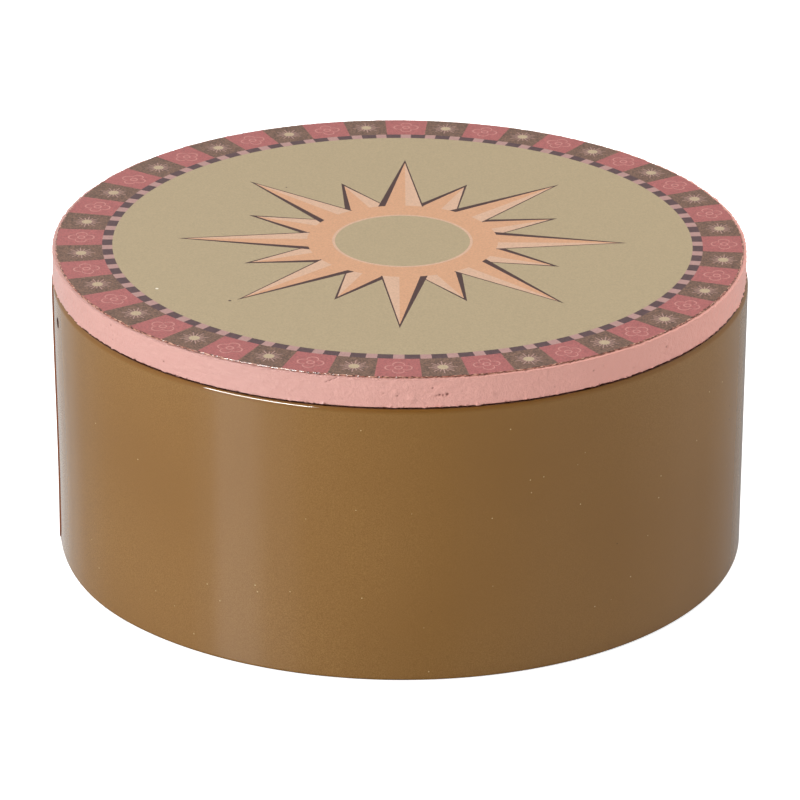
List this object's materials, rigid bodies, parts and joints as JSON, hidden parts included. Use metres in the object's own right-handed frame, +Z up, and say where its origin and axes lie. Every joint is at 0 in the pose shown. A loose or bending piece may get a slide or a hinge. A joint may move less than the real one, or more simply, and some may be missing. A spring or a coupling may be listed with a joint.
{
  "type": "storage tin",
  "caption": "Round lidded storage tin: lapped steel wall with curled rim and base plate, and a lift-off board lid with a printed top.",
  "frame": {"origin": "middle of the foot, on the surface that the tin stands on", "axes": "+Z up through the lid; -Y is the front that the picture sees; -X is the side with the wall's lap seam"},
  "size_m": [0.1505, 0.15, 0.0679],
  "materials": {
    "bronze_paint": "satin metallic bronze paint on sheet steel, fine orange peel",
    "pink_painted_board": "hand-painted matt pink on fibreboard",
    "printed_paper": "printed decoration under clear satin lacquer"
  },
  "bodies": {
    "tin": {"wall": "bronze_paint", "base_plate": "bronze_paint"},
    "lid": {"lid_board": "pink_painted_board", "lid_plug": "pink_painted_board", "printed_sheet": "printed_paper"}
  },
  "joints": [
    {"name": "lid_lift", "type": "slide", "parent": "tin", "child": "lid", "axis": [0, 0, 1], "range_m": [0, 0.09]}
  ]
}
